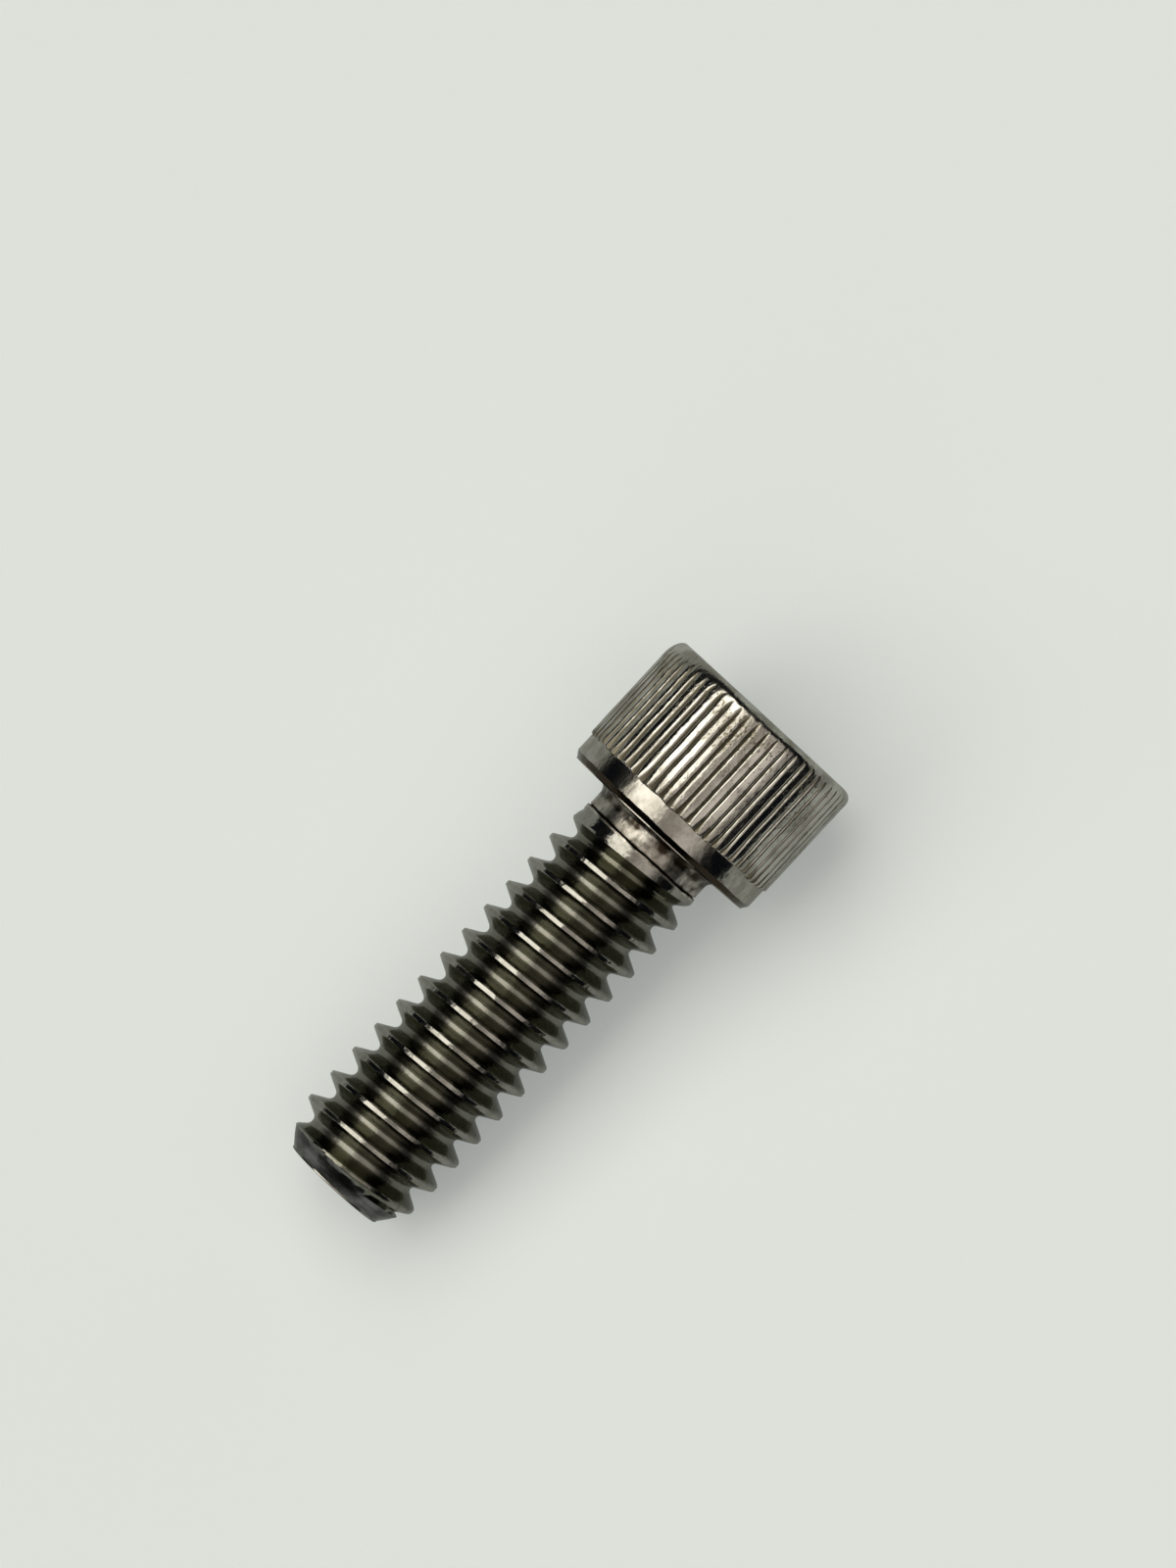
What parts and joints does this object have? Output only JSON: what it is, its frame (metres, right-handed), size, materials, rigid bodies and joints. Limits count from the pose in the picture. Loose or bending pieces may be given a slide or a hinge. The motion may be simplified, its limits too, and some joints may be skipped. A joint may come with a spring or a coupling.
{
  "type": "hex socket cap screw",
  "caption": "Cap screw with a straight-knurled cylindrical head, a hexagonal key socket and a fully threaded shank with a chamfered point.",
  "frame": {"origin": "centre of the head's flat top face, which the screw stands on", "axes": "+Z along the screw's axis, from the head towards the point"},
  "size_m": [0.0092, 0.0092, 0.025],
  "materials": {
    "stainless_steel": "bright, lightly pitted, with dull grey streaks"
  },
  "bodies": {
    "root": {"screw": "stainless_steel"}
  },
  "joints": []
}
